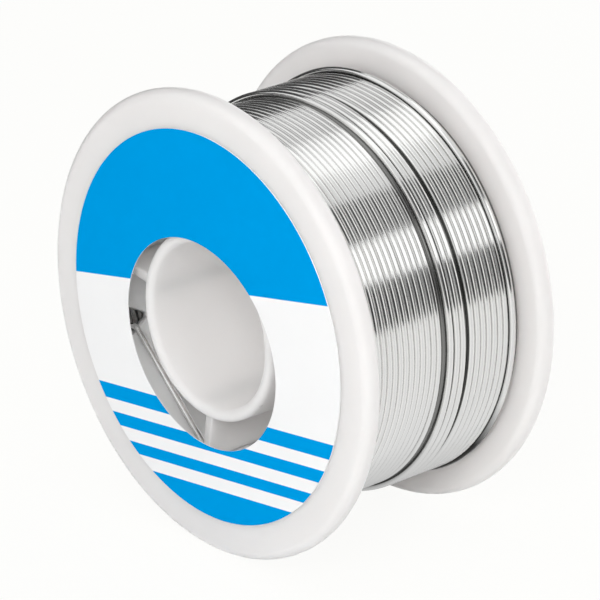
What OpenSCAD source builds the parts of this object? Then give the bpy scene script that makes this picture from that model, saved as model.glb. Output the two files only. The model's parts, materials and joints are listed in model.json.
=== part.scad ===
// Spool of solder wire: a flanged plastic reel, its paper label and the wound wire.
// Millimetres. The spindle axis lies along Y, the labelled front face looks towards -Y,
// and the reel stands on the edges of its two flanges. The origin is the centre of the bore.

/* [Flanges] */
// Diameter across a flange
flange_d = 54; // [50:0.5:70]
// Width over the outer faces of both flanges
overall_w = 28.2; // [22:0.1:45]
// Thickness of a flange
flange_t = 2.4; // [2.2:0.1:3.4]
// Radius of the rounding on both edges of a flange's rim
rim_r = 1.1; // [0.3:0.05:1.1]

/* [Barrel] */
// Outer diameter of the barrel that carries the winding
barrel_d = 36.8; // [34:0.2:40]
// Wall thickness of the barrel
barrel_wall = 1.2; // [0.8:0.1:2]
// Depth of the seat in each flange that holds an end of the barrel
seat_depth = 1; // [0.4:0.1:1.4]

/* [Hub] */
// Diameter of the bore for the spindle
bore_d = 19.2; // [14:0.2:20]
// Wall thickness of the bore tube
tube_wall = 1.4; // [0.8:0.1:2]
// How far the rounded lip of the bore tube lies below the flange faces
lip_setback = 0.2; // [0:0.05:1]
// Number of ribs between the bore tube and the barrel
rib_count = 4; // [3:1:6]
// Thickness of a rib
rib_t = 1.2; // [0.8:0.1:2]
// How far the ends of the ribs lie below the flange faces
rib_setback = 1.8; // [0.5:0.1:4]
// Direction of the first rib, in degrees anticlockwise from the right as seen from the front
rib_angle = 82.6; // [72:0.1:90]

/* [Start notch] */
// Width of the notch in the barrel, where it opens on the front flange's inner face
notch_mouth = 3.6; // [3.4:0.1:5]
// Width of the notch at its rounded tip
notch_tip = 0.8; // [0.4:0.1:1.6]
// Depth of the notch, measured from the front flange's inner face
notch_depth = 3; // [2.6:0.1:6]
// Direction of the notch, in degrees anticlockwise from the right as seen from the front
notch_angle = 197.4; // [190:0.1:204]

/* [Label] */
// Width of the bare border of the flange round the paper label
label_border = 4.3; // [2:0.1:6]
// How far the label's hole clears the bore where it comes nearest to it
label_edge = 0.05; // [0.05:0.05:1.5]
// Sideways shift of the middle of the label's oval hole from the axis
label_hole_x = -0.57; // [-1.5:0.01:1.5]
// Upward shift of the middle of the label's oval hole from the axis
label_hole_z = -2.12; // [-3:0.01:3]
// Length of the label's hole as a multiple of its width
label_hole_ratio = 1.09; // [1:0.01:1.2]
// Direction of the hole's length, in degrees anticlockwise from the right as seen from the front
label_hole_tilt = -22; // [-90:1:90]
// Thickness of the label
label_t = 0.12; // [0.08:0.01:0.3]

/* [Solder wire] */
// Diameter of the wire
wire_d = 0.8; // [0.6:0.05:1]
// Diameter over the whole winding, at its fuller rear part
wound_d = 47; // [43:0.2:48]
// How far the front turns of the winding lie below the rear ones
layer_step = 0.7; // [0:0.05:1]
// Where the winding steps up to its rear part, measured from the front flange's inner face
step_place = 12.6; // [6:0.1:18]
// Clear space between neighbouring turns of the outer layer
turn_gap = 0.42; // [0.41:0.01:0.8]
// Radius of the bend that takes each end of the outer layer to its flange
lead_bend = 0.6; // [0.55:0.05:1]
// Radius of the bend where the start of the wire leaves the notch
start_bend = 0.9; // [0.8:0.05:1.1]
// Where the start of the wire passes the notch, in degrees from the notch's middle
start_offset = 2.4; // [2:0.1:2.6]
// Angle from there, round the hub, to where the start of the wire ends
start_span = 51; // [44:0.5:54]

/* [Fits] */
// Clearance round an end of the barrel in its seat
seat_clear = 0.03; // [0.01:0.01:0.15]
// Clearance between the ribs and the barrel
rib_clear = 0.03; // [0.01:0.01:0.15]
// Clearance between the winding and the barrel, and between its layers
wind_clear = 0.03; // [0.01:0.01:0.15]
// Clearance between the start of the wire and the plastic that it lies against
start_clear = 0.05; // [0.02:0.01:0.2]

/* [Hidden] */
$fn = 96;
eps = 0.01;

flange_r = flange_d / 2;
rim_round = min(rim_r, flange_t / 2 - eps);
face_z = overall_w / 2;
inner_z = face_z - flange_t;
barrel_r = barrel_d / 2;
barrel_in_r = barrel_r - barrel_wall;
barrel_end_z = inner_z + seat_depth;
bore_r = bore_d / 2;
lip_r = tube_wall / 2;
lip_z = face_z - lip_setback;
rib_end_z = face_z - rib_setback;

// Half the width of the label's hole: just enough for the oval to hold the circle round the bore.
// Drawn in by the ratio along the oval's length, the oval is a circle, which reaches that
// circle's farthest point.
clear_r = bore_r + label_edge;
label_hole_half_w = max([for (a = [0 : 359])
    let (p = [clear_r * cos(a) - label_hole_x, clear_r * sin(a) - label_hole_z],
         along = p * [cos(label_hole_tilt), sin(label_hole_tilt)])
    norm([along / label_hole_ratio, sqrt(max(0, p * p - along * along))])]);

// Outer layer: a right-handed helix of spaced turns that lies on the inner layers
most_turns = 24;
turn_rings = 24;
turn_sides = 6;
bend_rings = 4;
wire_r = wire_d / 2;
turn_r = wound_d / 2 - wire_r;
lead_w = wire_d + lead_bend;
lead_angle = lead_bend / turn_r * 180 / PI;
turns_w = 2 * (inner_z - lead_w);
turns = min(most_turns, floor(turns_w / (wire_d + turn_gap)));
pitch = turns_w / turns;

// The turns come down behind the step, over a short way round, once they are clear of it
drop_angle = 45;
step_z = inner_z - step_place;
drop_z = step_z + wire_r + wind_clear;
drop_w = pitch * drop_angle / 360;

// Start of the wire: in through the notch, then straight across the hub to the barrel's wall
start_sides = 8;
start_z = inner_z - wire_r - start_clear;
start_angle = notch_angle + start_offset;
start_end_r = barrel_in_r - wire_r - start_clear;
start_end_angle = start_angle + start_span;

function polar(r, a, z) = [r * cos(a), r * sin(a), z];
function turn_r_at(z) = turn_r - layer_step * max(0, min(1, (z - drop_z) / drop_w));
function on_winding(a, z) = polar(turn_r_at(z), a, z);
// Radius of the layers under turns that lie at a radius: clear of the straight stretches between
// the turns' rings
function layers_r(r) = r * cos(180 / turn_rings) - wire_r - wind_clear;
function unit(v) = v / norm(v);
function tangent(path, i) =
    unit(path[min(i + 1, len(path) - 1)] - path[max(i - 1, 0)]);
function across(v, t) = unit(v - (v * t) * t);

// One ring of a tube: corner 0 points along up, and the others follow round the path
function ring(c, t, up, r, sides) =
    let (u = across(up, t), w = cross(t, u))
    [for (k = [0 : sides - 1]) c + r * (cos(360 * k / sides) * u + sin(360 * k / sides) * w)];

// Triangles between neighbouring rings, with a fan over each end
function tube_faces(rings, sides) = concat(
    [for (k = [1 : sides - 2]) [0, k, k + 1]],
    [for (i = [0 : rings - 2], k = [0 : sides - 1], half = [0, 1])
        let (a = i * sides + k, b = i * sides + (k + 1) % sides)
        half == 0 ? [a, a + sides, b] : [b, a + sides, b + sides]],
    [for (k = [1 : sides - 2]) let (e = (rings - 1) * sides) [e, e + k + 1, e + k]]);

module tube(path, ups, r, sides) {
    points = [for (i = [0 : len(path) - 1])
        each ring(path[i], tangent(path, i), ups[i], r, sides)];
    polyhedron(points, tube_faces(len(path), sides), convexity = 10);
}

// The bend between a lead and the first turn, in steps from the lead towards the turn
function lead_steps() = [for (k = [0 : bend_rings - 1]) let (a = 90 * k / bend_rings)
    [lead_angle * (1 - cos(a)), wire_d + lead_bend * sin(a)]];

// The path of the outer layer: square off the rear flange, round the turns, square on the front
function turns_path() = let (
    steps = lead_steps(),
    last_angle = 2 * lead_angle + 360 * turns)
    concat(
        [on_winding(0, -inner_z)],
        [for (s = steps) on_winding(s.x, -inner_z + s.y)],
        [for (k = [0 : turns * turn_rings]) let (a = 360 * k / turn_rings)
            on_winding(lead_angle + a, -inner_z + lead_w + pitch * a / 360)],
        [for (k = [bend_rings - 1 : -1 : 0]) let (s = steps[k])
            on_winding(last_angle - s.x, inner_z - s.y)],
        [on_winding(last_angle, inner_z)]);
turns_points = turns_path();

// Least distance between stretches of the outer layer that are half a turn or more apart
least_gap = min([for (i = [0 : len(turns_points) - 1],
                      j = [i + turn_rings / 2 : 1 : len(turns_points) - 1])
    norm(turns_points[i] - turns_points[j])]) - wire_d;
echo(turns = turns, pitch = pitch, least_gap = least_gap);

// The path of the wire's start. It runs inward along the radius, then turns round a bend that
// the last straight stretch leaves at a tangent.
function start_path() = let (
    from = polar(barrel_r, start_angle, start_z),
    to = polar(start_end_r, start_end_angle, start_z),
    inward = -polar(1, start_angle, 0),
    side = polar(1, start_angle + 90, 0),
    bend_from = from + barrel_wall * inward,
    reach = to - (bend_from + start_bend * side),
    turned = atan2(reach * side, reach * inward) + asin(start_bend / norm(reach)))
    concat(
        [from],
        [for (k = [0 : bend_rings]) let (a = turned * k / bend_rings)
            bend_from + start_bend * (sin(a) * inward + (1 - cos(a)) * side)],
        [to]);

// Lays an upright piece down, so that its axis runs along Y with its upper end at the front
module laid_down() {
    rotate([90, 0, 0]) children();
}

// Half section of a flange, seen with its outer face up
module flange_section() {
    square([flange_r - rim_round, flange_t]);
    translate([0, rim_round]) square([flange_r, flange_t - 2 * rim_round]);
    for (h = [rim_round, flange_t - rim_round])
        translate([flange_r - rim_round, h]) circle(r = rim_round);
}

// A flange with the hub's opening and the seat for the barrel in its inner face
module flange() {
    translate([0, 0, inner_z]) difference() {
        rotate_extrude() flange_section();
        translate([0, 0, -eps]) cylinder(r = barrel_in_r, h = flange_t + 2 * eps);
        translate([0, 0, -eps]) cylinder(r = barrel_r + seat_clear, h = seat_depth + eps);
    }
}

module front_flange() {
    color("whitesmoke") laid_down() flange();
}

module rear_flange() {
    color("whitesmoke") laid_down() mirror([0, 0, 1]) flange();
}

// Outline of the notch, with its mouth on the X axis and its rounded tip pointing up
module notch_outline() {
    tip_r = notch_tip / 2;
    tip_steps = 8;
    polygon(concat(
        [[-notch_mouth / 2, 0], [notch_mouth / 2, 0]],
        [for (k = [0 : tip_steps]) let (a = 180 * k / tip_steps)
            [tip_r * cos(a), notch_depth - tip_r + tip_r * sin(a)]]));
}

module winding_barrel() {
    color("ghostwhite") laid_down() difference() {
        cylinder(r = barrel_r, h = 2 * barrel_end_z, center = true);
        cylinder(r = barrel_in_r, h = 2 * (barrel_end_z + eps), center = true);
        rotate([0, 0, notch_angle]) translate([0, 0, inner_z])
            rotate([0, 90, 0]) rotate([0, 0, 90]) linear_extrude(barrel_d) notch_outline();
    }
}

// Half section of the bore tube, rounded over at both ends
module tube_section() {
    translate([bore_r, -lip_z + lip_r]) square([tube_wall, 2 * (lip_z - lip_r)]);
    for (s = [-1, 1]) translate([bore_r + lip_r, s * (lip_z - lip_r)]) circle(r = lip_r);
}

module rib() {
    root_r = bore_r + lip_r;
    translate([root_r, -rib_t / 2, -rib_end_z])
        cube([barrel_in_r - root_r, rib_t, 2 * rib_end_z]);
}

module bore_hub() {
    color("white") laid_down() union() {
        rotate_extrude() tube_section();
        intersection() {
            for (k = [0 : rib_count - 1]) rotate([0, 0, rib_angle + 360 * k / rib_count]) rib();
            cylinder(r = barrel_in_r - rib_clear, h = overall_w, center = true);
        }
    }
}

module front_label() {
    color([0, 0.63, 0.91]) laid_down() translate([0, 0, face_z]) difference() {
        cylinder(r = flange_r - label_border, h = label_t);
        translate([label_hole_x, label_hole_z, -eps]) rotate([0, 0, label_hole_tilt])
            linear_extrude(label_t + 2 * eps) polygon([for (k = [0 : $fn - 1])
                let (a = 360 * k / $fn)
                label_hole_half_w * [label_hole_ratio * cos(a), sin(a)]]);
    }
}

module solder_inner_layers() {
    color("darkgray") laid_down() difference() {
        union() {
            cylinder(r = layers_r(turn_r - layer_step), h = 2 * inner_z, center = true);
            translate([0, 0, -inner_z])
                cylinder(r = layers_r(turn_r), h = 2 * inner_z - step_place);
        }
        cylinder(r = barrel_r + wind_clear, h = 2 * (inner_z + eps), center = true);
    }
}

module solder_outer_layer() {
    color("silver") laid_down()
        tube(turns_points, [for (p = turns_points) [p.x, p.y, 0]], wire_r, turn_sides);
}

module solder_inner_end() {
    path = start_path();
    color("gainsboro") laid_down()
        tube(path, [for (p = path) [0, 0, 1]], wire_r, start_sides);
}

front_flange();
rear_flange();
winding_barrel();
bore_hub();
front_label();
solder_inner_layers();
solder_outer_layer();
solder_inner_end();
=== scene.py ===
import json

import bmesh
import bpy
import numpy as np
from mathutils import Matrix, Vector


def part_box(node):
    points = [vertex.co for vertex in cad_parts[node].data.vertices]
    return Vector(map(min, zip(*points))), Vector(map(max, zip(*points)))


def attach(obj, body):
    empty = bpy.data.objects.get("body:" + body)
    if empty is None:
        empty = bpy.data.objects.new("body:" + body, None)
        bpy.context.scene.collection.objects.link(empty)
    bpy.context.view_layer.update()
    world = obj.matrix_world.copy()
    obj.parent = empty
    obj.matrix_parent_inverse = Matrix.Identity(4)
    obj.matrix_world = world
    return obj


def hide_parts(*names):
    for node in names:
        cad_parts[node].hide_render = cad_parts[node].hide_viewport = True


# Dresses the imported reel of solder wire: moulded white plastic, a paper label and bright wire.
# Metres. The reel's axis is Y, its labelled face looks towards -Y, and Z is up.
# Angles are in degrees. Those round the axis run from +X towards +Z.

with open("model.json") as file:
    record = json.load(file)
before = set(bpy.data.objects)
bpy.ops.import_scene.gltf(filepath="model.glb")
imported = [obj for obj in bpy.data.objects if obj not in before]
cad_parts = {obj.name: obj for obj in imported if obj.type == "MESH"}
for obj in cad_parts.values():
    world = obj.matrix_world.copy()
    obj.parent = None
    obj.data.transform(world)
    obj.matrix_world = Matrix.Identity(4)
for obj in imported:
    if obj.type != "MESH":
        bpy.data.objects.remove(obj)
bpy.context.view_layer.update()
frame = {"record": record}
mm = 0.001

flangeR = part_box("front_flange")[1].z
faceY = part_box("rear_flange")[1].y
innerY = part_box("rear_flange")[0].y
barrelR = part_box("winding_barrel")[1].z
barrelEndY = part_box("winding_barrel")[1].y
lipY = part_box("bore_hub")[1].y
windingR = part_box("solder_outer_layer")[1].x
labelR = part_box("front_label")[1].x
labelFaceY = -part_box("front_label")[0].y
boreR = next(m for m in frame["record"]["mounts"] if m["name"] == "bore")["dims"]["r_mm"] * mm
print("frame loaded: flange radius", round(flangeR, 5), "inner face", round(innerY, 5))

# How many steps a turned piece has round the axis, and how close its points lie before they join
roundSteps = 288
joining = {"weldWithin": 1e-7, "thinnestEdge": 1e-8}


def gridFaces(rows, columns, wrapRows, wrapColumns):
    # Quads between neighbouring points of a grid, going round where a direction closes on itself
    i = np.arange(rows if wrapRows else rows - 1)
    j = np.arange(columns if wrapColumns else columns - 1)
    i, j = np.meshgrid(i, j, indexing="ij")
    nextI = (i + 1) % rows
    nextJ = (j + 1) % columns
    corners = [i * columns + j, nextI * columns + j, nextI * columns + nextJ, i * columns + nextJ]
    return np.stack(corners, -1).reshape(-1, 4)


def gridPatch(points, wrapRows=False, wrapColumns=False, keep=None, uv=None):
    # A patch is a grid of points with its quads, less those that keep leaves out
    rows, columns = points.shape[:2]
    faces = gridFaces(rows, columns, wrapRows, wrapColumns)
    if uv is None:
        corners = None
    else:
        corners = uv.reshape(-1, 2)[gridFaces(uv.shape[0], uv.shape[1], False, False)]
    if keep is not None:
        faces = faces[keep.ravel()]
    return {"points": points.reshape(-1, 3), "faces": faces, "uv": corners}


def makePiece(name, patches, nodes, sharpAngle=40):
    # Joins the patches, closes their seams, turns the faces outwards and hangs the piece on the body.
    # Edges sharper than the angle stay crisp.
    starts = np.cumsum([0] + [len(p["points"]) for p in patches])
    points = np.concatenate([p["points"] for p in patches])
    faces = np.concatenate([p["faces"] + s for p, s in zip(patches, starts)])
    mesh = bpy.data.meshes.new(name)
    mesh.from_pydata(points.tolist(), [], faces.tolist())
    if all(p["uv"] is not None for p in patches):
        layer = mesh.uv_layers.new(name="surface")
        corners = np.concatenate([p["uv"] for p in patches])
        layer.data.foreach_set("uv", corners.astype(np.float32).ravel())
    work = bmesh.new()
    work.from_mesh(mesh)
    bmesh.ops.remove_doubles(work, verts=work.verts, dist=joining["weldWithin"])
    bmesh.ops.dissolve_degenerate(work, edges=work.edges, dist=joining["thinnestEdge"])
    bmesh.ops.recalc_face_normals(work, faces=work.faces)
    work.to_mesh(mesh)
    work.free()
    mesh.shade_smooth()
    mesh.set_sharp_from_angle(angle=np.radians(sharpAngle))
    piece = bpy.data.objects.new(name, mesh)
    bpy.context.scene.collection.objects.link(piece)
    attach(piece, "root")
    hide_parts(*nodes)
    print("made", name, len(mesh.polygons), "faces")
    return piece


def polar(radius, angle, y):
    # A point at a radius and an angle round the axis
    a = np.radians(angle)
    return np.stack(np.broadcast_arrays(radius * np.cos(a), y, radius * np.sin(a)), -1)


def roundedLoop(corners, arcSteps=8, longest=0.6 * mm):
    # A closed outline of (radius, y, rounding): each corner becomes an arc tangent to both its sides,
    # and straight stretches are divided so that no step is longer than the longest
    data = np.array(corners, float)
    at = data[:, :2]
    toBack = np.roll(at, 1, 0) - at
    toNext = np.roll(at, -1, 0) - at
    toBack /= np.linalg.norm(toBack, axis=1, keepdims=True)
    toNext /= np.linalg.norm(toNext, axis=1, keepdims=True)
    half = np.arccos(np.clip((toBack * toNext).sum(1), -1, 1)) / 2
    middle = toBack + toNext
    middle /= np.linalg.norm(middle, axis=1, keepdims=True)
    centre = at + middle * (data[:, 2] / np.sin(half))[:, None]
    start = at + toBack * (data[:, 2] / np.tan(half))[:, None] - centre
    end = at + toNext * (data[:, 2] / np.tan(half))[:, None] - centre
    turn = np.pi - 2 * half
    t = np.linspace(0, 1, arcSteps + 1)[None, :, None]
    turn = turn[:, None, None]
    arcs = (np.sin((1 - t) * turn) * start[:, None] + np.sin(t * turn) * end[:, None]) / np.sin(turn)
    loop = (arcs + centre[:, None]).reshape(-1, 2)
    ahead = np.roll(loop, -1, 0)
    parts = np.maximum(1, np.ceil(np.linalg.norm(ahead - loop, axis=1) / longest)).astype(int)
    share = np.arange(parts.sum()) - np.repeat(np.cumsum(parts) - parts, parts)
    share = (share / np.repeat(parts, parts))[:, None]
    return np.repeat(loop, parts, 0) * (1 - share) + np.repeat(ahead, parts, 0) * share


def lathe(outline):
    # Each point of the outline goes once round the axis at its own radius and height
    angle = np.arange(roundSteps)[:, None] * 360 / roundSteps
    return gridPatch(polar(outline[None, :, 0], angle, outline[None, :, 1]), True, True)


def tube(path, up, radius, sides, endDome=0.25, domeRings=4):
    # A circle in the plane across the path, whose first point lies along up, carried along it.
    # The last rings at each end shrink to a point over a low dome. The UV is the length in mm and
    # the share of a turn round the tube.
    along = np.gradient(path, axis=0)
    along /= np.linalg.norm(along, axis=1, keepdims=True)
    dome = np.linspace(0, 90, domeRings + 1)[1:]
    shrink = np.cos(np.radians(dome))
    bulge = np.sin(np.radians(dome)) * radius * endDome
    head = path[0] - along[0] * bulge[::-1, None]
    tail = path[-1] + along[-1] * bulge[:, None]
    centre = np.concatenate([head, path, tail])
    size = np.concatenate([shrink[::-1], np.ones(len(path)), shrink]) * radius
    reps = [domeRings + 1] + [1] * (len(path) - 2) + [domeRings + 1]
    along = np.repeat(along, reps, 0)
    up = np.repeat(up, reps, 0)
    across = up - (up * along).sum(1, keepdims=True) * along
    across /= np.linalg.norm(across, axis=1, keepdims=True)
    side = np.cross(along, across)
    turn = np.radians(np.arange(sides) * 360 / sides)[None, :, None]
    ring = np.cos(turn) * across[:, None] + np.sin(turn) * side[:, None]
    points = centre[:, None] + size[:, None, None] * ring
    length = np.concatenate([[0], np.cumsum(np.linalg.norm(np.diff(centre, axis=0), axis=1))]) / mm
    uv = np.stack(np.meshgrid(length, np.linspace(0, 1, sides + 1), indexing="ij"), -1)
    return gridPatch(points, False, True, uv=uv)


def linear(red, green, blue):
    # The linear value of a colour written as 0 to 255, by the sRGB curve
    c = np.array([red, green, blue]) / 255
    c = np.where(c <= 0.04045, c / 12.92, ((c + 0.055) / 1.055) ** 2.4)
    return (*c.tolist(), 1)


def addNode(tree, kind, inputs=None, **settings):
    # A node with its settings. Each input is a value, or an output of another node to link.
    node = tree.nodes.new(kind)
    for key, value in settings.items():
        setattr(node, key, value)
    for key, value in (inputs or {}).items():
        if isinstance(value, bpy.types.NodeSocket):
            tree.links.new(value, node.inputs[key])
        else:
            node.inputs[key].default_value = value
    return node


def maths(tree, operation, a, b=0.0, c=0.0):
    # One step of arithmetic on up to three inputs
    return addNode(tree, "ShaderNodeMath", {0: a, 1: b, 2: c}, operation=operation).outputs[0]


def mixColour(tree, share, a, b):
    # The first colour where the share is 0, and the second where it is 1
    return addNode(tree, "ShaderNodeMix", {0: share, 6: a, 7: b}, data_type="RGBA").outputs[2]


def ramp(tree, value, low, high, atLow=0.0, atHigh=1.0):
    # A straight rise or fall between two values, and level beyond them
    inputs = {0: value, 1: low, 2: high, 3: atLow, 4: atHigh}
    return addNode(tree, "ShaderNodeMapRange", inputs).outputs[0]


def objectPlace(tree):
    # The X, Y and Z of the point in metres
    where = addNode(tree, "ShaderNodeTexCoord").outputs["Object"]
    return addNode(tree, "ShaderNodeSeparateXYZ", {0: where}).outputs


def newMaterial(name):
    # An empty material and its nodes
    material = bpy.data.materials.new(name)
    material.use_nodes = True
    material.node_tree.nodes.clear()
    return material, material.node_tree


def closeMaterial(tree, shader):
    # The shader becomes the material's surface
    addNode(tree, "ShaderNodeOutputMaterial", {"Surface": shader.outputs[0]})


noiseDetail = {"patch": 3.0, "grain": 4.0}


def grainGroup():
    # Cloudy patches and a fine grain: where they fall they change the colour, roughness and height.
    # The roughness is its middle value plus the spread times how far a patch is from one half.
    group = bpy.data.node_groups.new("surfaceGrain", "ShaderNodeTree")
    for name, kind in (("Vector", "NodeSocketVector"), ("Patch Scale", "NodeSocketFloat"),
                       ("Grain Scale", "NodeSocketFloat"), ("Middle Roughness", "NodeSocketFloat"),
                       ("Roughness Spread", "NodeSocketFloat")):
        group.interface.new_socket(name=name, in_out="INPUT", socket_type=kind)
    for name in ("Patch", "Grain", "Roughness"):
        group.interface.new_socket(name=name, in_out="OUTPUT", socket_type="NodeSocketFloat")
    given = addNode(group, "NodeGroupInput").outputs
    patch = addNode(group, "ShaderNodeTexNoise", {
        "Vector": given["Vector"], "Scale": given["Patch Scale"], "Detail": noiseDetail["patch"]})
    grain = addNode(group, "ShaderNodeTexNoise", {
        "Vector": given["Vector"], "Scale": given["Grain Scale"], "Detail": noiseDetail["grain"]})
    uneven = maths(group, "SUBTRACT", patch.outputs[0], 0.5)
    rough = maths(group, "MULTIPLY_ADD", uneven, given["Roughness Spread"], given["Middle Roughness"])
    addNode(group, "NodeGroupOutput", {
        "Patch": patch.outputs[0], "Grain": grain.outputs[0], "Roughness": rough})
    return group


surfaceGrain = grainGroup()


def useGrain(tree, vector, look):
    # The shared grain, at the scales and the roughness of a look
    return addNode(tree, "ShaderNodeGroup", {
        "Vector": vector, "Patch Scale": look["patchScale"], "Grain Scale": look["grainScale"],
        "Middle Roughness": look["roughness"], "Roughness Spread": look["spread"]},
        node_tree=surfaceGrain).outputs


def useBump(tree, grain, look):
    # The grain as height, at the strength and the depth of a look
    return addNode(tree, "ShaderNodeBump", {
        "Height": grain["Grain"], "Strength": look["bump"], "Distance": look["bumpDepth"]}).outputs[0]


cameraPlace = {"azimuth": 48.98, "elevation": 22.98, "distance": 484 * mm, "aside": 0.0675 * mm,
               "below": 0.506 * mm, "lens": 258.13, "sensor": 36, "nearest": 10 * mm}


def lookingBack(azimuth, elevation):
    # The right, up and backward directions of one who looks at the bore's centre from there
    a, e = np.radians([azimuth, elevation])
    back = np.array([np.sin(a) * np.cos(e), -np.cos(a) * np.cos(e), np.sin(e)])
    right = np.array([np.cos(a), np.sin(a), 0])
    return right, np.cross(back, right), back


def placed(axes, place):
    # The matrix whose columns are an object's own axes and its place
    turned = np.eye(4)
    turned[:3, 0], turned[:3, 1], turned[:3, 2] = axes
    turned[:3, 3] = place
    return Matrix(turned.tolist())


def makeCamera():
    # The camera stands back from the bore's centre by its distance, a little aside and below
    right, up, back = lookingBack(cameraPlace["azimuth"], cameraPlace["elevation"])
    place = cameraPlace["distance"] * back - cameraPlace["aside"] * right - cameraPlace["below"] * up
    data = bpy.data.cameras.new("camera")
    data.lens = cameraPlace["lens"]
    data.sensor_width = cameraPlace["sensor"]
    data.clip_start = cameraPlace["nearest"]
    camera = bpy.data.objects.new("camera", data)
    bpy.context.scene.collection.objects.link(camera)
    camera.matrix_world = placed((right, up, back), place)
    bpy.context.scene.camera = camera


# Much of the light goes a little way into the plastic and comes out beside the place where it fell
plasticLook = {"roughness": 0.3, "spread": 0.12, "patchScale": 90, "grainScale": 1800, "bump": 0.05,
               "bumpDepth": 0.02 * mm, "within": 0.8, "withinTint": (1.0, 0.97, 0.97),
               "withinDepth": 2.2 * mm, "ior": 1.49}

# Each plastic's colour, and the one that it has between its cloudy patches. The barrel's plastic is paler
# than the flanges': painted light in its shaded pockets. The hub's is darker: painted shade in its bore
# and on its lips.
plasticColours = {"whitePlastic": ((238, 236, 235), (233, 231, 230)),
                  "hubShadedPlastic": ((235, 233, 232), (230, 228, 227)),
                  "barrelLitPlastic": ((252, 251, 250), (248, 247, 246))}


def makePlastic(name):
    # Satin plastic: cloudy patches between its two colours, and a fine grain in its gloss
    material, tree = newMaterial(name)
    pale, cloudy = plasticColours[name]
    where = addNode(tree, "ShaderNodeTexCoord").outputs["Object"]
    grain = useGrain(tree, where, plasticLook)
    shader = addNode(tree, "ShaderNodeBsdfPrincipled", {
        "Base Color": mixColour(tree, grain["Patch"], linear(*cloudy), linear(*pale)),
        "Roughness": grain["Roughness"], "Normal": useBump(tree, grain, plasticLook),
        "Subsurface Weight": plasticLook["within"], "Subsurface Radius": plasticLook["withinTint"],
        "Subsurface Scale": plasticLook["withinDepth"], "IOR": plasticLook["ior"]})
    closeMaterial(tree, shader)
    return material


# How far the rim and the edges are rounded, and the gap between a flange and the barrel in its seat
flange = {"rim": 1.1 * mm, "edge": 0.15 * mm, "seatEdge": 0.05 * mm, "seatClear": 0.03 * mm}
barrel = {"wall": 1.2 * mm, "steps": 240, "bevel": 0.1 * mm, "bevelSteps": 2, "bevelAngle": 40}


def makeFlange(name, node, side, plastic):
    # The outline runs out along the inner face, over the rim and back along the outer face. Its y
    # times the side, 1 or -1, makes the rear or the front one.
    openR = barrelR - barrel["wall"]
    seatR = barrelR + flange["seatClear"]
    outline = roundedLoop([
        (seatR, innerY, flange["seatEdge"]), (flangeR, innerY, flange["rim"]),
        (flangeR, faceY, flange["rim"]), (openR, faceY, flange["edge"]),
        (openR, barrelEndY, flange["seatEdge"]), (seatR, barrelEndY, flange["seatEdge"])])
    outline[:, 1] *= side
    piece = makePiece(name, [lathe(outline)], [node])
    piece.data.materials.append(plastic)


# The notch's middle, its width at the flange and at its round end, and its depth. Its columns are
# drawn in over the reach to each side, and its rows run on past its end, from and to there in mm.
notch = {"angle": 197.4, "mouth": 3.6 * mm, "tip": 0.8 * mm, "depth": 3.0 * mm, "reach": 16.0,
         "rows": 9, "past": (0.3, 2), "pastRows": 6, "restFrom": 3 * mm, "restRows": 16, "columns": 13}


def makeBarrel(plastic):
    # The inner wall is a grid of angle and y. Near the notch its columns are drawn in, so that two
    # of them follow the notch's sloping sides, and the cells between those two are left out.
    # Solidify then gives it the barrel's wall, outwards.
    innerR = barrelR - barrel["wall"]
    tipR = notch["tip"] / 2
    mouthY = -innerY
    tipY = mouthY + notch["depth"]
    arc = np.radians(np.linspace(0, 90, notch["rows"]))
    roundY = tipY - tipR + tipR * np.sin(arc)
    slopeY = np.linspace(mouthY, tipY - tipR, notch["rows"])
    pastY = tipY + np.linspace(*notch["past"], notch["pastRows"]) * mm
    restY = np.linspace(tipY + notch["restFrom"], barrelEndY, notch["restRows"])
    rowY = np.concatenate([[-barrelEndY], slopeY, roundY[1:], pastY, restY])
    slopeHalf = np.linspace(notch["mouth"] / 2, tipR, notch["rows"])
    halfWidth = np.interp(rowY, np.concatenate([slopeY, roundY[1:], pastY[-1:]]),
                          np.concatenate([slopeHalf, tipR * np.cos(arc[1:]), [tipR]]))
    halfAngle = np.degrees(halfWidth / innerR)[:, None]
    within = np.linspace(-1, 1, notch["columns"])
    beyond = np.linspace(0, 1, notch["columns"])[1:]
    far = np.linspace(notch["reach"], 360 - notch["reach"], barrel["steps"])[1:-1]
    middle = halfAngle * within
    right = halfAngle + (notch["reach"] - halfAngle) * beyond
    columns = np.concatenate([middle, right, np.repeat(far[None], len(rowY), 0), 360 - right[:, ::-1]], 1)
    points = polar(innerR, notch["angle"] + columns, rowY[:, None])
    keep = np.ones((len(rowY) - 1, columns.shape[1]), bool)
    keep[1:len(slopeY) + len(roundY) - 1, :len(within) - 1] = False
    piece = makePiece("windingBarrel", [gridPatch(points, False, True, keep)],
                      ["winding_barrel"])
    some = piece.data.polygons[len(piece.data.polygons) // 2]
    facesOut = some.normal.x * some.center.x + some.normal.z * some.center.z > 0
    wall = piece.modifiers.new("wall", "SOLIDIFY")
    wall.thickness = barrel["wall"]
    wall.offset = 1 if facesOut else -1
    rounded = piece.modifiers.new("rounded", "BEVEL")
    rounded.width = barrel["bevel"]
    rounded.segments = barrel["bevelSteps"]
    rounded.limit_method = "ANGLE"
    rounded.angle_limit = np.radians(barrel["bevelAngle"])
    piece.data.materials.append(plastic)


# A lip is a little less than a half round, so that its two arcs don't meet in one point
hub = {"wall": 1.4 * mm, "lipShare": 0.998, "ribs": 4, "ribAngle": 82.6, "ribThick": 1.2 * mm,
       "ribSetback": 1.8 * mm, "ribClear": 0.03 * mm, "fillet": 0.35 * mm, "edge": 0.22 * mm,
       "filletSteps": 8, "ribSteps": 14, "edgeSteps": 6, "ribRows": 30}


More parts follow.
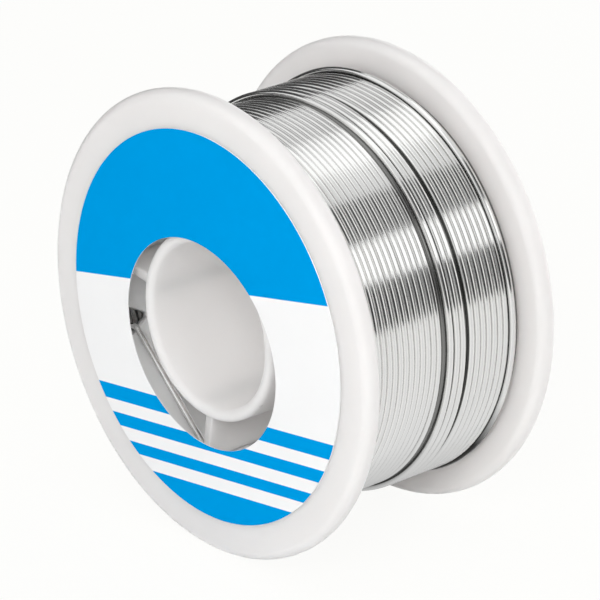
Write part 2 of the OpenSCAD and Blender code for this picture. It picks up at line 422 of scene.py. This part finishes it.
def ribPatches(angle):
    # Half the thickness is even along the radius and flares in a quarter circle at the tube.
    # The section is carried along y and drawn in by a quarter circle at both ends.
    tubeR = boreR + hub["wall"]
    filletR = tubeR + hub["fillet"]
    tipR = barrelR - barrel["wall"] - hub["ribClear"]
    radius = np.concatenate([[tubeR - hub["wall"] / 2], np.linspace(tubeR, filletR, hub["filletSteps"]),
                             np.linspace(filletR, tipR, hub["ribSteps"])[1:]])
    inside = np.clip((filletR - radius) / hub["fillet"], 0, 1)
    half = hub["ribThick"] / 2 + hub["fillet"] * (1 - np.sqrt(1 - inside ** 2))
    bend = np.radians(np.linspace(0, 90, hub["edgeSteps"]))
    endY = faceY - hub["ribSetback"]
    topY = endY - hub["edge"] * (1 - np.sin(bend))
    inset = hub["edge"] * (1 - np.cos(bend))
    rowY = np.concatenate([-topY[::-1], np.linspace(-topY[0], topY[0], hub["ribRows"])[1:-1], topY])
    draw = np.concatenate([inset[::-1], np.zeros(hub["ribRows"] - 2), inset])
    around = np.concatenate([half[None] - draw[:, None], -(half[None] - draw[:, None])[:, ::-1]], 1)
    out = np.concatenate([radius, radius[::-1]])[None] + 0 * around
    a = np.radians(angle)
    points = np.stack([out * np.cos(a) - around * np.sin(a), rowY[:, None] + 0 * around,
                       out * np.sin(a) + around * np.cos(a)], -1)
    n = len(radius)
    caps = [gridPatch(np.stack([points[row, :n], points[row, :n - 1:-1]], 1)) for row in (0, -1)]
    return [gridPatch(points, False, True), *caps]


def makeHub(plastic):
    # A tube whose ends are round lips, with ribs at even angles
    tubeR = boreR + hub["wall"]
    lipR = hub["wall"] / 2 * hub["lipShare"]
    corners = [(boreR, -lipY), (tubeR, -lipY), (tubeR, lipY), (boreR, lipY)]
    patches = [lathe(roundedLoop([(*corner, lipR) for corner in corners]))]
    for k in range(hub["ribs"]):
        patches += ribPatches(hub["ribAngle"] + 360 * k / hub["ribs"])
    piece = makePiece("boreHub", patches, ["bore_hub"])
    piece.data.materials.append(plastic)


# The blue field's edge and the stripes are lines that rise by an angle, at a distance from the
# bore's centre. The ink and the paper each have a second colour between their cloudy patches.
label = {"holeX": -0.57 * mm, "holeZ": -2.12 * mm, "holeEdge": 0.05 * mm, "holeRatio": 1.09,
         "holeTilt": -22, "rings": 16, "fieldAngle": 12.4, "fieldEdge": 4.62 * mm, "stripeAngle": 8.3,
         "stripes": ((-9.72 * mm, -11.56 * mm), (-13.08 * mm, -14.62 * mm),
                     (-16.17 * mm, -17.55 * mm), (-19.12 * mm, -30 * mm)),
         "inkEdge": 0.03 * mm, "inkDepth": 0.03 * mm}
paperLook = {"blue": (0, 160, 233), "cloudyBlue": (0, 156, 229), "white": (253, 253, 253),
             "cloudyWhite": (250, 250, 250), "patchScale": 160, "grainScale": 5200,
             "roughness": 0.42, "spread": 0.16, "bump": 0.08, "bumpDepth": 0.02 * mm, "sheen": 0.0}


def makeLabel():
    # The hole is the smallest tilted oval of its length to width about its centre that clears the
    # bore. Each point lies a share of the way from the label's outer edge to the oval.
    a = np.radians(np.arange(360))
    t = np.radians(label["holeTilt"])
    clearR = boreR + label["holeEdge"]
    x, z = clearR * np.cos(a) - label["holeX"], clearR * np.sin(a) - label["holeZ"]
    along, across = x * np.cos(t) + z * np.sin(t), z * np.cos(t) - x * np.sin(t)
    halfWidth = np.hypot(along / label["holeRatio"], across).max()
    n = label["rings"]
    share = np.concatenate([np.linspace(0, 1, n), np.linspace(1, 0, n)])[None, :, None]
    height = np.concatenate([np.full(n, -labelFaceY), np.full(n, -faceY)])
    angle = np.arange(roundSteps)[:, None] * 360 / roundSteps
    outer = polar(labelR, angle, height)
    s = np.radians(angle) - t
    along, across = halfWidth * label["holeRatio"] * np.cos(s), halfWidth * np.sin(s)
    hole = np.stack(np.broadcast_arrays(label["holeX"] + along * np.cos(t) - across * np.sin(t), height,
                                        label["holeZ"] + along * np.sin(t) + across * np.cos(t)), -1)
    patch = gridPatch(outer * (1 - share) + hole * share, True, True)
    piece = makePiece("frontLabel", [patch], ["front_label"])
    piece.data.materials.append(makePaper())


def above(tree, x, z, angle, edge):
    # 1 on the upper side of a line that rises by that angle and passes the centre at that distance
    a = np.radians(angle)
    across = maths(tree, "MULTIPLY_ADD", x, -np.sin(a), maths(tree, "MULTIPLY", z, np.cos(a)))
    return ramp(tree, across, edge - label["inkEdge"], edge + label["inkEdge"])


def makePaper():
    # Ink lies above the field's edge and between the two edges of each stripe, on the face alone
    material, tree = newMaterial("labelPaper")
    where = addNode(tree, "ShaderNodeTexCoord").outputs["Object"]
    x, y, z = addNode(tree, "ShaderNodeSeparateXYZ", {0: where}).outputs
    printed = maths(tree, "LESS_THAN", y, -labelFaceY + label["inkDepth"])
    ink = above(tree, x, z, label["fieldAngle"], label["fieldEdge"])
    for top, bottom in label["stripes"]:
        under = maths(tree, "SUBTRACT", 1.0, above(tree, x, z, label["stripeAngle"], top))
        stripe = maths(tree, "MULTIPLY", under, above(tree, x, z, label["stripeAngle"], bottom))
        ink = maths(tree, "MAXIMUM", ink, stripe)
    ink = maths(tree, "MULTIPLY", ink, printed)
    grain = useGrain(tree, where, paperLook)
    paper = mixColour(tree, grain["Patch"], linear(*paperLook["cloudyWhite"]), linear(*paperLook["white"]))
    inked = mixColour(tree, grain["Patch"], linear(*paperLook["cloudyBlue"]), linear(*paperLook["blue"]))
    shader = addNode(tree, "ShaderNodeBsdfPrincipled", {
        "Base Color": mixColour(tree, ink, paper, inked), "Roughness": grain["Roughness"],
        "Normal": useBump(tree, grain, paperLook), "Specular IOR Level": paperLook["sheen"]})
    closeMaterial(tree, shader)
    return material


wireR = 0.4 * mm

# The turns lie in groups from the front flange to the rear one: how many, the y of the first and
# the last in mm, and how high their middles lie under the winding's crest in mm.
# A turn crosses to the next one at the crossing's angle. From the early turn on, it goes a share of
# the way between two angles before the crossing, and another share between two angles after it.
# The last turns sink between two angles on the way down, rise again after the crossing's angle, and
# are lifted a little at the top.
winding = {"groups": ((3, -11.28, -9.40, -1.10), (12, -8.48, 0.38, -1.10), (1, 1.51, 1.51, -0.40),
                      (2, 2.45, 3.29, -0.40), (7, 4.61, 9.69, -0.40), (1, 10.50, 10.50, 0.0),
                      (1, 11.28, 11.28, -0.55)),
           "sides": 14, "perTurn": 150, "crossAngle": 205, "crossTurns": 0.22,
           "earlyTurn": 14, "earlyFrom": 0, "earlyTo": -70, "earlyShare": 0.5,
           "lateFrom": 48, "lateTo": 100, "lateShare": 0.45,
           "heights": 6, "wanderY": 0.015 * mm, "seedY": 3, "wanderR": 0.012 * mm, "seedR": 5,
           "dive": 0.8 * mm, "diveTurns": 0.1, "lastTurns": 2, "lastOver": 0.2,
           "sinkFrom": -12, "sinkTo": -50, "sinkBy": 0.15 * mm, "riseOver": 60,
           "liftBy": 0.22 * mm, "liftFrom": 75, "liftTop": (98, 104), "liftTo": 124}


def smooth(value, low, high):
    # Rises from 0 to 1 between low and high, level at both ends
    t = np.clip((value - low) / (high - low), 0, 1)
    return t * t * (3 - 2 * t)


def wander(turn, seed, size):
    # A smooth curve through random heights, evenly spread over each turn
    random = np.random.default_rng(seed)
    share = turn * winding["heights"]
    low = np.floor(share).astype(int)
    heights = random.normal(0, size, low.max() + 2)
    part = smooth(share, low, low + 1)
    return heights[low] * (1 - part) + heights[low + 1] * part


def sunkSide(around):
    # 1 on the side where the last turns sink, for angles within a turn below the crossing's angle
    falling = smooth(-around, -winding["sinkFrom"], -winding["sinkTo"])
    return np.maximum(falling, 1 - smooth(winding["crossAngle"] - around, 0, winding["riseOver"]))


def turnPlaces(turn):
    # The y and the height under the crest along the winding. Each turn is a plain circle, and steps
    # to the next one over the crossing. Where a share is taken early or late, the rest is the step.
    groups = [(np.linspace(first, last, count), np.full(count, high))
              for count, first, last, high in winding["groups"]]
    places = np.concatenate([y for y, high in groups]) * mm
    highs = np.concatenate([high for y, high in groups]) * mm
    last = len(places) - 1
    around = winding["crossAngle"] - 360 * (turn - np.floor(turn))
    nearest = np.floor(turn + 0.5).astype(int)
    crossed = smooth(turn - nearest, -winding["crossTurns"] / 2, winding["crossTurns"] / 2)
    before, after = np.clip(nearest - 1, 0, last), np.clip(nearest, 0, last)
    now = np.clip(np.floor(turn).astype(int), 0, last)
    ending = nearest > now
    early = np.where(ending, smooth(-around, -winding["earlyFrom"], -winding["earlyTo"]), 1)
    late = np.where(ending, 1, smooth(around, winding["lateFrom"], winding["lateTo"]))
    moved = (before >= winding["earlyTurn"]) & (before < last)
    share = crossed * (1 - late * winding["lateShare"] * moved)
    share = share + (1 - crossed) * early * winding["earlyShare"] * moved
    y = places[before] * (1 - share) + places[after] * share
    high = highs[before] * (1 - crossed) + highs[after] * crossed
    return y, high


def windingPath():
    # The middle of the wire and the direction to the axis. The radius is the crest's and the turn's
    # height under it, with a slight wander. The last turns sink and lift, and both ends dive.
    turns = sum(group[0] for group in winding["groups"])
    turn = np.linspace(0, turns, turns * winding["perTurn"] + 1)
    angle = winding["crossAngle"] - 360 * turn
    around = winding["crossAngle"] - 360 * (turn - np.floor(turn))
    y, high = turnPlaces(turn)
    lift = winding["liftBy"] * smooth(around, winding["liftFrom"], winding["liftTop"][0])
    lift = lift * (1 - smooth(around, winding["liftTop"][1], winding["liftTo"]))
    lastFrom = turns - winding["lastTurns"]
    moved = lift - winding["sinkBy"] * sunkSide(around)
    moved = moved * smooth(turn, lastFrom, lastFrom + winding["lastOver"])
    dive = winding["dive"] * (1 - smooth(np.minimum(turn, turns - turn), 0, winding["diveTurns"]))
    radius = windingR + high + wander(turn, winding["seedR"], winding["wanderR"]) + moved - dive
    y = y + wander(turn, winding["seedY"], winding["wanderY"])
    y = np.clip(y, -innerY + wireR, innerY - wireR)
    return polar(radius, angle, y), -polar(1, angle, 0)


def makeWinding(solder):
    # One tube along the whole path
    path, inward = windingPath()
    piece = makePiece("solderTurns", [tube(path, inward, wireR, winding["sides"])],
                      ["solder_outer_layer"])
    piece.data.materials.append(solder)


# The layers below: how high their wires' middles lie under the winding's crest in front of the step
# and behind it, the y of the step, of a wire's middle and of the rear stretch that sinks
below = {"front": -1.79 * mm, "rear": -1.10 * mm, "step": 0.72 * mm, "middle": 0.72 * mm,
         "pitch": 0.8 * mm, "stagger": 0.5, "sinkFrom": 9.9 * mm, "sinkOver": 0.2 * mm,
         "sinkBy": 0.3 * mm, "fit": 0.04 * mm, "rows": 224, "steps": 200, "sharpAngle": 60}


def makeInnerLayers(solder):
    # Both the outer and the inner side rise over each wire by a circle's height. Behind the step the
    # outer side is one layer higher, and beside the rear flange it sinks where the last turns do.
    # The UV is the length in mm and, round the wire, the angle from its crest as a share of a turn.
    y = np.linspace(-innerY, innerY, below["rows"])
    behind = y > below["step"]
    angle = np.arange(below["steps"])[:, None] * 360 / below["steps"]
    around = (angle - winding["crossAngle"]) % 360 + winding["crossAngle"] - 360
    across = (y - below["middle"]) / below["pitch"] + np.where(behind, below["stagger"], 0)
    across = (across - np.round(across)) * below["pitch"] / wireR
    rise = np.sqrt(np.maximum(0, 1 - across ** 2)) * wireR
    sunk = sunkSide(around) * smooth(y, below["sinkFrom"], below["sinkFrom"] + below["sinkOver"])
    outer = windingR + np.where(behind, below["rear"], below["front"]) + rise - below["sinkBy"] * sunk
    inner = barrelR + below["fit"] + wireR - rise[::-1]
    radius = np.concatenate([outer, inner[None] + 0 * outer], 1)
    points = polar(radius, angle, np.concatenate([y, y[::-1]]))
    length = np.linspace(0, 2 * np.pi * windingR / mm, len(angle) + 1)
    place = np.concatenate([across, across[::-1], across[:1]])
    fromCrest = 0.5 + np.degrees(np.arcsin(np.clip(place, -1, 1))) / 360
    uv = np.stack(np.meshgrid(length, fromCrest, indexing="ij"), -1)
    piece = makePiece("solderLayers", [gridPatch(points, True, True, uv=uv)],
                      ["solder_inner_layers"], below["sharpAngle"])
    piece.data.materials.append(solder)


# The wire's start goes in beside the notch's middle, by the offset, and ends a span further round
start = {"offset": 2.4, "span": 57, "clear": 0.05 * mm, "bend": 0.9 * mm, "outside": 1.5 * mm,
         "inSteps": 8, "bendSteps": 14, "outSteps": 40, "sides": 24}


def makeStart(solder):
    # Inward along the radius through the notch, round a bend, and off it at a tangent to the
    # barrel's wall
    y = -innerY + wireR + start["clear"]
    first = notch["angle"] + start["offset"]
    inner = barrelR - barrel["wall"]
    begin = polar(barrelR + start["outside"], first, y)
    bendFrom = polar(inner, first, y)
    end = polar(inner - wireR - start["clear"], first + start["span"], y)
    inward, side = -polar(1, first, 0), polar(1, first + 90, 0)
    reach = end - (bendFrom + start["bend"] * side)
    turned = np.arctan2(reach @ side, reach @ inward) + np.arcsin(start["bend"] / np.linalg.norm(reach))
    a = np.linspace(0, turned, start["bendSteps"])[:, None]
    arc = bendFrom + start["bend"] * (np.sin(a) * inward + (1 - np.cos(a)) * side)
    inTo = begin + np.linspace(0, 1, start["inSteps"])[:-1, None] * (bendFrom - begin)
    outTo = arc[-1] + np.linspace(0, 1, start["outSteps"])[1:, None] * (end - arc[-1])
    path = np.concatenate([inTo, arc, outTo])
    up = np.tile([0.0, 1.0, 0.0], (len(path), 1))
    piece = makePiece("solderStart", [tube(path, up, wireR, start["sides"])],
                      ["solder_inner_end"])
    piece.data.materials.append(solder)


# Streaks are stretched along the wire and close together round it. Painted shade lies in the grooves from
# one share of a turn round the wire, from its crest, to another. A painted shadow low down on the last
# turns and painted shade in the seam between them lie between places in mm.
solderLook = {"streaks": (0.06, 14, 1), "patchScale": 1.0, "grainScale": 3.0, "spread": 0.14,
              "bump": 0.10, "bumpDepth": 0.01 * mm, "paintedShade": (50, 50, 48), "grooveShade": (0.15, 0.24),
              "lowShadowY": (9.95, 10.12, 10.85, 10.98), "lowShadowZ": (-15.5, -8.5),
              "seamShadeY": (11.03, 11.12, 11.34, 11.44), "seamShadeShare": 0.85}

# Each kind of solder: its two colours, its roughness and how much painted shade its grooves hold
solders = {"solderWire": ((238, 238, 237), (226, 226, 225), 0.13, 0.1),
           # The start's solder is paler than the winding's: painted light for a wire lying in the shaded
           # pocket. Its grooves hold no painted shade.
           "solderLitStart": ((250, 250, 249), (244, 244, 243), 0.13, 0.0),
           # The layers below are darker than the winding: painted shade for the gaps between turns they
           # are seen through
           "solderShadedBelow": ((142, 142, 140), (122, 122, 121), 0.22, 0.95)}


def between(tree, value, edges, height):
    # Rises from 0 to the height between the first two edges in mm, and falls again between the others
    rise = ramp(tree, value, edges[0] * mm, edges[1] * mm)
    return maths(tree, "MULTIPLY", rise, ramp(tree, value, edges[2] * mm, edges[3] * mm, height, 0.0))


def makeSolder(name):
    # Drawn metal with streaks. Painted shade darkens the grooves, a painted shadow lies low down on the
    # last turns and painted shade lies in the seam between them: its share of the colour is the largest of
    # these three.
    bright, dull, roughness, paintedShade = solders[name]
    material, tree = newMaterial(name)
    uv = addNode(tree, "ShaderNodeUVMap", uv_map="surface").outputs[0]
    stretched = addNode(tree, "ShaderNodeMapping", {"Vector": uv, "Scale": solderLook["streaks"]})
    grain = useGrain(tree, stretched.outputs[0], {**solderLook, "roughness": roughness})
    metal = mixColour(tree, grain["Patch"], linear(*dull), linear(*bright))
    share = maths(tree, "FRACT", addNode(tree, "ShaderNodeSeparateXYZ", {0: uv}).outputs["Y"])
    fromCrest = maths(tree, "ABSOLUTE", maths(tree, "SUBTRACT", share, 0.5))
    # Painted shade in the grooves between the wires, away from each crest
    grooveShade = ramp(tree, fromCrest, *solderLook["grooveShade"], 0.0, paintedShade)
    where = objectPlace(tree)
    # Painted shadow low down on the last turns, beside the rear flange
    low, high = solderLook["lowShadowZ"]
    lowShadow = maths(tree, "MULTIPLY", between(tree, where["Y"], solderLook["lowShadowY"], 1.0),
                    ramp(tree, where["Z"], low * mm, high * mm, 1.0, 0.0))
    # Painted shade in the seam between the last two turns
    seamShade = between(tree, where["Y"], solderLook["seamShadeY"], solderLook["seamShadeShare"])
    dark = maths(tree, "MAXIMUM", maths(tree, "MAXIMUM", grooveShade, lowShadow), seamShade)
    shader = addNode(tree, "ShaderNodeBsdfPrincipled", {
        "Base Color": mixColour(tree, dark, metal, linear(*solderLook["paintedShade"])), "Metallic": 1.0,
        "Roughness": grain["Roughness"], "Normal": useBump(tree, grain, solderLook)})
    closeMaterial(tree, shader)
    return material


studio = {"fill": 0.42, "floorSize": 6.0, "floor": (250, 250, 249), "floorGlow": 0.94,
          "floorWhite": (1, 1, 0.985, 1)}

# Each soft light looks at the reel from an azimuth and an elevation: these, its distance, its size
# and its watts. Reflections show the cards instead.
softLights = {
    "sideLight": (40, 32, 0.45, 0.2, 0.9),
    "topLight": (30, 75, 0.6, 0.4, 0.5),
    "backLight": (174, 8, 0.5, 0.3, 1.35),
    "frontLight": (12, 8, 0.5, 0.3, 0.09)}

# Each card is a sheet round the axis that only reflections see: its radius, its two angles, the y of
# both its sides and its brightness
cards = {
    "rightCard": (0.75, 25, 43, -0.45, 1.2, 1.35),
    "frontRightCard": (0.75, 25, 43, -1.6, -0.45, 0.42),
    "topCard": (0.75, 67, 84, -1.2, 1.2, 0.82),
    "topWhiteCard": (0.75, 84, 107, -1.2, 1.2, 1.25),
    "lowRightCard": (0.77, -1.5, 23, -0.41, 0.47, 0.05),
    "midRightCard": (0.77, 45, 67, -0.41, 0.47, 0.08),
    "frontLowCard": (0.77, -1.5, 23, -1.6, -0.41, 0.28),
    "frontMidCard": (0.77, 45, 67, -1.6, -0.41, 0.52),
    "upperLeftCard": (0.77, 105, 130, -0.1, 1.0, 0.5),
    "leftCard": (0.77, 134, 178, -0.35, 0.55, 0.07),
    "nearLeftCard": (0.16, 165, 189.5, -0.15, 0.1, 0.06)}
cardSteps = 12

# The grey part of the floor that only reflections see runs from one x to another. It is painted shade of
# the floor in reflections, darkest near the reel as a painted shadow of the reel. It widens on both sides
# with the distance from the winding's side, and grows paler between two places.
floorCard = {"from": -0.03, "to": 0.62, "finest": 0.02, "steps": 24, "sideShare": 0.9, "front": 0.53,
             "rear": 0.61, "height": 1 * mm, "shadowGrey": 0.42, "shadowX": -0.002, "pale": 0.86, "paleX": 0.024}


def seenDirectly(tree):
    # 1 for what the camera sees, also in a mirror or through glass, and 0 for light on things
    ray = addNode(tree, "ShaderNodeLightPath").outputs
    shows = maths(tree, "MAXIMUM", ray["Is Camera Ray"], ray["Is Glossy Ray"])
    return maths(tree, "MAXIMUM", shows, ray["Is Transmission Ray"])


def makeWorld():
    # White where it is seen directly, and dimmer as a light: the fill plus the rest times what is seen
    world = bpy.data.worlds.new("studio")
    bpy.context.scene.world = world
    world.use_nodes = True
    tree = world.node_tree
    tree.nodes.clear()
    strength = maths(tree, "MULTIPLY_ADD", seenDirectly(tree), 1.0 - studio["fill"], studio["fill"])
    light = addNode(tree, "ShaderNodeBackground", {"Color": (1, 1, 1, 1), "Strength": strength})
    addNode(tree, "ShaderNodeOutputWorld", {"Surface": light.outputs[0]})


def makeFloor():
    # A pale sheet under the flanges: where it is seen directly, most of it is plain white and the rest
    # takes the shadow
    half = studio["floorSize"] / 2
    corners = [(x * half, y * half, -flangeR) for x, y in ((-1, -1), (1, -1), (1, 1), (-1, 1))]
    mesh = bpy.data.meshes.new("floor")
    mesh.from_pydata(corners, [], [(0, 1, 2, 3)])
    floor = bpy.data.objects.new("floor", mesh)
    bpy.context.scene.collection.objects.link(floor)
    material, tree = newMaterial("paleFloor")
    paint = addNode(tree, "ShaderNodeBsdfDiffuse", {"Color": linear(*studio["floor"])}).outputs[0]
    white = addNode(tree, "ShaderNodeEmission", {"Color": studio["floorWhite"]}).outputs[0]
    share = maths(tree, "MULTIPLY", seenDirectly(tree), studio["floorGlow"])
    closeMaterial(tree, addNode(tree, "ShaderNodeMixShader", {0: share, 1: paint, 2: white}))
    mesh.materials.append(material)


def makeSoftLights():
    # Round lamps that face the bore's centre
    for name, (azimuth, elevation, distance, size, watts) in softLights.items():
        data = bpy.data.lights.new(name, "AREA")
        data.shape = "DISK"
        data.size = size
        data.energy = watts
        light = bpy.data.objects.new(name, data)
        bpy.context.scene.collection.objects.link(light)
        axes = lookingBack(azimuth, elevation)
        light.matrix_world = placed(axes, axes[2] * distance)
        light.visible_glossy = False


def addCard(name, points, shade):
    # A glowing sheet that only reflections see, in the colour that shade gives for its nodes
    patch = gridPatch(points)
    mesh = bpy.data.meshes.new(name)
    mesh.from_pydata(patch["points"].tolist(), [], patch["faces"].tolist())
    sheet = bpy.data.objects.new(name, mesh)
    bpy.context.scene.collection.objects.link(sheet)
    material, tree = newMaterial(name)
    closeMaterial(tree, addNode(tree, "ShaderNodeEmission", {"Color": shade(tree)}))
    mesh.materials.append(material)
    sheet.visible_camera = False
    sheet.visible_diffuse = False
    sheet.visible_shadow = False


def floorShade(tree):
    # Grey that grows paler along x, away from the painted shadow under the reel
    return ramp(tree, objectPlace(tree)["X"], floorCard["shadowX"], floorCard["paleX"],
                floorCard["shadowGrey"], floorCard["pale"])


def makeCards():
    # A card is part of a cylinder round the reel's axis. The floor's, painted shade of the floor in
    # reflections, is a wedge just above the floor, with short steps near the reel.
    for name, (radius, low, high, nearY, farY, grey) in cards.items():
        angle = np.linspace(low, high, cardSteps + 1)[:, None]
        points = polar(radius, angle, np.array([nearY, farY])[None])
        addCard(name, points, lambda tree, g=grey: (g, g, g, 1))
    finest = floorCard["finest"]
    x = np.geomspace(finest, floorCard["to"] - floorCard["from"] + finest, floorCard["steps"])
    x = x[:, None] + floorCard["from"] - finest
    reach = np.hypot(x - floorCard["sideShare"] * windingR, flangeR)
    y = np.concatenate([-floorCard["front"] * reach, floorCard["rear"] * reach], 1)
    points = np.stack(np.broadcast_arrays(x, y, floorCard["height"] - flangeR), -1)
    addCard("floorCard", points, floorShade)


makeCamera()
makeWorld()
makeFloor()
makeSoftLights()
makeCards()
print("studio made")

whitePlastic = makePlastic("whitePlastic")
makeFlange("frontFlange", "front_flange", -1, whitePlastic)
makeFlange("rearFlange", "rear_flange", 1, whitePlastic)
# The barrel's paler plastic is painted light in its pockets
makeBarrel(makePlastic("barrelLitPlastic"))
# The hub's darker plastic is painted shade in its bore and on its lips
makeHub(makePlastic("hubShadedPlastic"))
makeLabel()
print("reel made")

# The layers below wear the darker solder, painted shade in the gaps between turns
makeInnerLayers(makeSolder("solderShadedBelow"))
makeWinding(makeSolder("solderWire"))
# The start wears the paler solder, painted light in the shaded pocket
makeStart(makeSolder("solderLitStart"))
print("wire made")

bpy.context.scene.view_settings.view_transform = "Standard"
